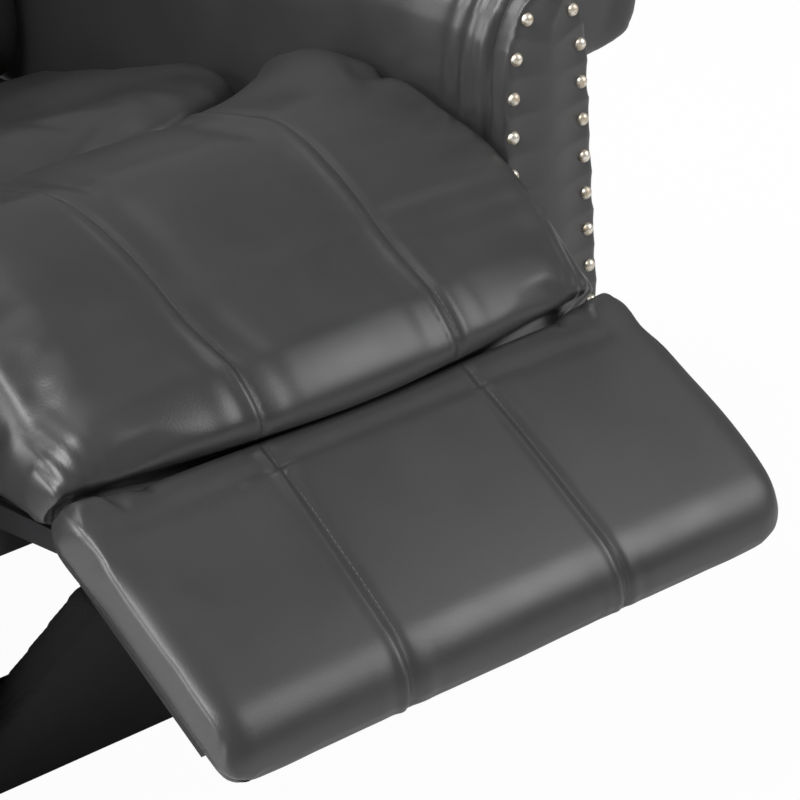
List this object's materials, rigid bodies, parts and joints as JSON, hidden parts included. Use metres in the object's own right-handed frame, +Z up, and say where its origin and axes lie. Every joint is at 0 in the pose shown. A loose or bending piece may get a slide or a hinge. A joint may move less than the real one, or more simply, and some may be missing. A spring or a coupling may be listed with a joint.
{
  "type": "glider recliner",
  "caption": "Rolled-arm upholstered recliner that glides on swinging links, with a hinged footrest, a reclining back, a release handle and nailhead trim on the arm fronts.",
  "frame": {"origin": "on the floor, under the middle of the chair's box with the footrest raised as modelled", "axes": "+Z up; the chair faces -Y, so the footrest is at -Y and the back at +Y; +X is the picture's right, the sitter's left"},
  "size_m": [0.8678, 1.1556, 1.0291],
  "materials": {
    "leather": "smooth charcoal leather, satin",
    "frame_wood": "planed softwood and plywood, bare",
    "handle_wood": "dark stained wood, satin lacquer",
    "steel": "black powder coat",
    "nails": "antique pewter-brass heads, worn bright on top",
    "rubber": "moulded rubber",
    "webbing": "woven elastic webbing"
  },
  "bodies": {
    "base": {"base_rail_right": "steel", "base_rail_left": "steel", "base_crossbar_front": "steel", "base_crossbar_rear": "steel", "foot_pad_front_right": "rubber", "foot_pad_front_left": "rubber", "foot_pad_rear_right": "rubber", "foot_pad_rear_left": "rubber", "hanger_post_front_right": "steel", "hanger_post_front_left": "steel", "hanger_post_rear_right": "steel", "hanger_post_rear_left": "steel"},
    "link_front_right": {"glider_link_front_right": "steel"},
    "link_front_left": {"glider_link_front_left": "steel"},
    "link_rear_right": {"glider_link_rear_right": "steel"},
    "link_rear_left": {"glider_link_rear_left": "steel"},
    "chair": {"mechanism_plate_right": "steel", "mechanism_plate_left": "steel", "seat_rail_right": "frame_wood", "seat_rail_left": "frame_wood", "seat_rail_front": "frame_wood", "seat_rail_rear": "frame_wood", "seat_webbing_1": "webbing", "seat_webbing_2": "webbing", "seat_webbing_3": "webbing", "toe_board": "leather", "nose_block": "frame_wood", "front_seat_pad": "leather", "rear_seat_cushion": "leather", "arm_inner_pad_right": "leather", "arm_inner_pad_left": "leather", "arm_roll_right": "leather", "arm_roll_left": "leather", "arm_front_panel_right": "leather", "arm_front_panel_left": "leather", "nail_trim_right": "nails", "nail_trim_left": "nails", "arm_board_right": "frame_wood", "arm_board_left": "frame_wood", "arm_outer_panel_right": "leather", "arm_outer_panel_left": "leather", "rear_apron": "leather"},
    "back": {"back_rail_right": "frame_wood", "back_rail_left": "frame_wood", "back_top_rail": "frame_wood", "back_hinge_arm_right": "steel", "back_hinge_arm_left": "steel", "back_cushion_lower": "leather", "back_cushion_middle": "leather", "back_cushion_upper": "leather", "back_outer_panel": "leather"},
    "footrest": {"footrest_pad": "leather", "footrest_board": "frame_wood", "footrest_arm_right": "steel", "footrest_arm_left": "steel"},
    "drive_link_right": {"drive_link_right": "steel"},
    "drive_link_left": {"drive_link_left": "steel"},
    "shaft": {"torque_shaft": "steel", "release_handle": "handle_wood"}
  },
  "joints": [
    {"name": "glide", "type": "hinge", "parent": "base", "child": "link_front_right", "pos_m": [0.254, -0.02321, 0.25], "axis": [1, 0, 0], "range_deg": [-14, 14]},
    {"name": "glide_front_left", "type": "hinge", "parent": "base", "child": "link_front_left", "pos_m": [-0.254, -0.02321, 0.25], "axis": [1, 0, 0], "range_deg": [-14, 14]},
    {"name": "glide_rear_right", "type": "hinge", "parent": "base", "child": "link_rear_right", "pos_m": [0.254, 0.26679, 0.25], "axis": [1, 0, 0], "range_deg": [-14, 14]},
    {"name": "glide_rear_left", "type": "hinge", "parent": "base", "child": "link_rear_left", "pos_m": [-0.254, 0.26679, 0.25], "axis": [1, 0, 0], "range_deg": [-14, 14]},
    {"name": "chair_hang", "type": "hinge", "parent": "link_front_right", "child": "chair", "pos_m": [0.254, -0.02321, 0.09], "axis": [1, 0, 0], "range_deg": [-14, 14]},
    {"name": "back_recline", "type": "hinge", "parent": "chair", "child": "back", "pos_m": [0, 0.40179, 0.345], "axis": [-1, 0, 0], "range_deg": [0, 32]},
    {"name": "footrest_lift", "type": "hinge", "parent": "chair", "child": "footrest", "pos_m": [0, -0.40621, 0.367], "axis": [-1, 0, 0], "range_deg": [-56, 33]},
    {"name": "shaft_turn", "type": "hinge", "parent": "chair", "child": "shaft", "pos_m": [0, -0.22321, 0.348], "axis": [-1, 0, 0], "range_deg": [-56, 33]},
    {"name": "drive_link_right_pivot", "type": "hinge", "parent": "footrest", "child": "drive_link_right", "pos_m": [0.202, -0.40572, 0.32873], "axis": [-1, 0, 0], "range_deg": [-33, 56]},
    {"name": "drive_link_left_pivot", "type": "hinge", "parent": "footrest", "child": "drive_link_left", "pos_m": [-0.202, -0.40572, 0.32873], "axis": [-1, 0, 0], "range_deg": [-33, 56]}
  ],
  "couplings": [
    {"joint": "glide_front_left", "follows": "glide", "ratio": 1},
    {"joint": "glide_rear_right", "follows": "glide", "ratio": 1},
    {"joint": "glide_rear_left", "follows": "glide", "ratio": 1},
    {"joint": "chair_hang", "follows": "glide", "ratio": -1},
    {"joint": "shaft_turn", "follows": "footrest_lift", "ratio": 1},
    {"joint": "drive_link_right_pivot", "follows": "footrest_lift", "ratio": -1},
    {"joint": "drive_link_left_pivot", "follows": "footrest_lift", "ratio": -1}
  ]
}
